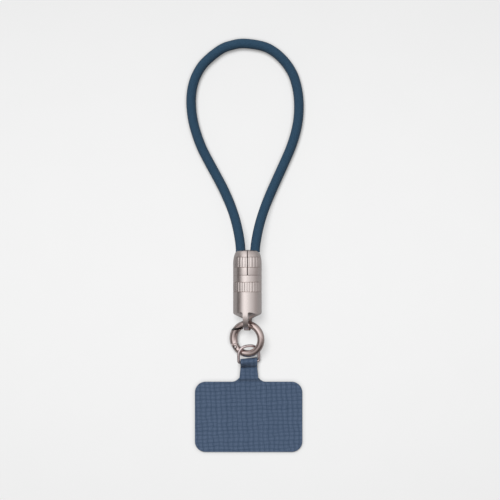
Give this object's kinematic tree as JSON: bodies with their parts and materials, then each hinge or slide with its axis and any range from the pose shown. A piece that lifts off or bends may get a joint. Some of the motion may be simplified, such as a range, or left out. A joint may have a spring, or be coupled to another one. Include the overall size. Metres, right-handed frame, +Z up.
{
  "type": "charging cable lanyard",
  "caption": "Wrist loop of charging cable whose plugs join in a metal capsule, with a spring-gate ring, a D-ring and a woven phone tab, lying flat.",
  "frame": {"origin": "on the surface that it lies on, under the middle of everything but the bare cable", "axes": "+Y along the lanyard from the phone tab towards the cable loop, +X to its right seen from above, +Z up from the surface"},
  "size_m": [0.0632, 0.2227, 0.0153],
  "materials": {
    "charging_cable": "matte fine braid",
    "plug_grip": "satin champagne anodised, knurled band",
    "usb_plug": "satin plated shell",
    "capsule_body": "satin champagne anodised, knurled band",
    "spring_ring": "polished rose gunmetal plating",
    "ring_gate": "polished rose gunmetal plating",
    "gate_pin": "polished",
    "d_ring": "satin champagne plating",
    "phone_tab": "matte fine canvas weave"
  },
  "bodies": {
    "holder": {"capsule_body": "capsule_body", "spring_ring": "spring_ring", "gate_pin": "gate_pin", "d_ring": "d_ring", "phone_tab": "phone_tab"},
    "cable": {"charging_cable": "charging_cable", "plug_grip_left": "plug_grip", "plug_grip_right": "plug_grip", "usb_plug_left": "usb_plug", "usb_plug_right": "usb_plug"},
    "gate": {"ring_gate": "ring_gate"}
  },
  "joints": [
    {"name": "plugs_pull_out", "type": "slide", "parent": "holder", "child": "cable", "axis": [0, 1, 0], "range_m": [0, 0.02]},
    {"name": "gate_hinge", "type": "hinge", "parent": "holder", "child": "gate", "pos_m": [-0.00668, 0.0023, 0.00236], "axis": [0.3889, 0.0963, -0.9162], "range_deg": [0, 9], "stiffness_Nm_per_rad": 0.004, "springref_deg": -20.05}
  ]
}
